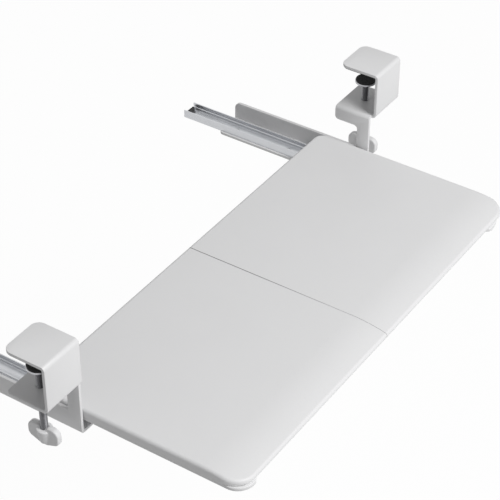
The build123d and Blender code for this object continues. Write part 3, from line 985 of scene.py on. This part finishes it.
def place_screws(node_name, points_down, finish, seed):
    """Detailed screws in place of a CAD node of plain ones."""
    boxes = loose_boxes(node_name)
    length = boxes[0][1].z - boxes[0][0].z - screw_head_height
    places = []
    for low, high in boxes:
        seat = high.z - screw_head_height if points_down else low.z + screw_head_height
        places.append(((low.x + high.x) / 2, (low.y + high.y) / 2, seat))
    flip = math.pi * points_down
    place_copies(node_name, places, build_screw(length), flip, finish, seed)


placing_tree = build_placing_tree()
place_screws("rail_shelf_screws", True, "nut_zinc", seed=3)
place_screws("rail_tray_screws", False, "nut_zinc", seed=5)
place_screws("base_screws", False, "black_zinc", seed=7)
place_screws("bar_screws", False, "black_zinc", seed=11)

# %% [markdown]
# ## The balls of the slides
#
# Sixteen steel balls roll in each slide, and the windows of two cage strips keep them apart. A ball
# made of rings has two poles where thin triangles crowd together. A ball made from a twenty-sided
# one has even triangles all over, so it looks round with few faces. The tree that placed the screws
# places the balls too, and the middle of each one is measured on the CAD node.

# %% The balls of the slides
ball_subdivisions = 4


def build_ball(radius):
    """A ball of even triangles."""
    shape = bmesh.new()
    bmesh.ops.create_icosphere(shape, subdivisions=ball_subdivisions, radius=radius)
    mesh = bpy.data.meshes.new("ball")
    shape.to_mesh(mesh)
    shape.free()
    mesh.shade_smooth()
    return mesh


def place_balls(node_name, seed):
    """Even balls in place of a CAD node of turned ones."""
    boxes = loose_boxes(node_name)
    radius = (boxes[0][1].z - boxes[0][0].z) / 2
    places = [(low + high) / 2 for low, high in boxes]
    place_copies(node_name, places, build_ball(radius), 0.0, "ball_steel", seed)


place_balls("left_cage_balls", seed=13)
place_balls("right_cage_balls", seed=17)

# %% [markdown]
# ## Weld beads on the nuts
#
# The nut under each flange is held by three short welds. A weld is a row of small puddles that
# froze one over the next, so it is built that way: the tree turns three edges into curves, takes
# points along them at the step of the torch, and sets a slightly different drop on each.
# The beads were laid before the bracket was coated, so they wear its powder coat.

# %% Weld beads on the nuts
bead_radius = 1.0 * mm
bead_step = 0.85 * mm
bead_length = 7.0 * mm
bead_turns = (90, 210, 330)
bead_sink = bead_radius / 3
smallest_drop, largest_drop = 0.85, 1.12
bead_seed = 2


def build_bead_tree():
    """Rows of overlapping drops along the edges of the source mesh."""
    inputs = {"Lines": "Geometry", "Radius": "Float", "Step": "Float", "Seed": "Int"}
    inputs["Finish"] = "Material"
    tree, recipe, given = geometry_tree("weld_beads", inputs)
    lines = recipe.add("GeometryNodeMeshToCurve", None, given["Lines"])
    by_length = {"mode": "LENGTH"}
    points = recipe.add("GeometryNodeCurveToPoints", by_length, curve=lines, length=given["Step"])
    drop = recipe.add("GeometryNodeMeshIcoSphere", None, radius=given["Radius"], subdivisions=2)
    spread = {"min": smallest_drop, "max": largest_drop, "seed": given["Seed"]}
    swell = recipe.add("FunctionNodeRandomValue", None, **spread)
    sockets = {"points": points["Points"], "instance": drop, "scale": swell}
    row = recipe.add("GeometryNodeInstanceOnPoints", None, **sockets)
    finished(recipe, row, given["Finish"])
    return tree


def build_beads(side):
    """Three beads round the top of a weld nut."""
    low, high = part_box(side + "_weld_nut")
    middle = (low + high) / 2
    flat = (high.y - low.y) / 2
    points = []
    for turn in map(math.radians, bead_turns):
        out = Vector((math.cos(turn), math.sin(turn), 0))
        along = Vector((-out.y, out.x, 0)) * bead_length / 2
        centre = Vector((middle.x, middle.y, high.z - bead_sink)) + out * (flat + bead_sink)
        points += [centre - along, centre + along]
    source = bpy.data.meshes.new("bead_lines")
    source.from_pydata(points, [(0, 1), (2, 3), (4, 5)], [])
    sizes = {"Radius": bead_radius, "Step": bead_step, "Seed": bead_seed}
    sizes["Finish"] = finishes["powder_coat"]
    mesh = run_tree(bead_tree, sizes, source)
    mesh.shade_smooth()
    body = nodes[side + "_weld_nut"]["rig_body"]
    return add_piece(side + "_weld_beads", mesh, body, "powder_coat")


bead_tree = build_bead_tree()
for side in sides:
    print(side, "weld bead faces:", len(build_beads(side).data.polygons))

# %% [markdown]
# ## The nodes whose shape is already right
#
# The tray shells have their roundings in the CAD model, and the ball cages, the pads and the
# dowels hardly show. Rebuilding them would only risk a misfit, so they keep their meshes and just
# get the right finish.

# %% The nodes whose shape is already right
sided_finishes = {
    "tray_shell": "tray_skin",
    "ball_cage": "cage_steel",
    "top_pad": "pad_foam",
}


def paint_node(node_name, finish):
    """Gives a CAD node its finish in every material slot."""
    for material_slot in nodes[node_name].material_slots:
        material_slot.material = finishes[finish]


for side in sides:
    for part, finish in sided_finishes.items():
        paint_node(side + "_" + part, finish)
paint_node("seam_dowels", "dowel_plastic")
print("Painted nodes:", len(sides) * len(sided_finishes) + 1)
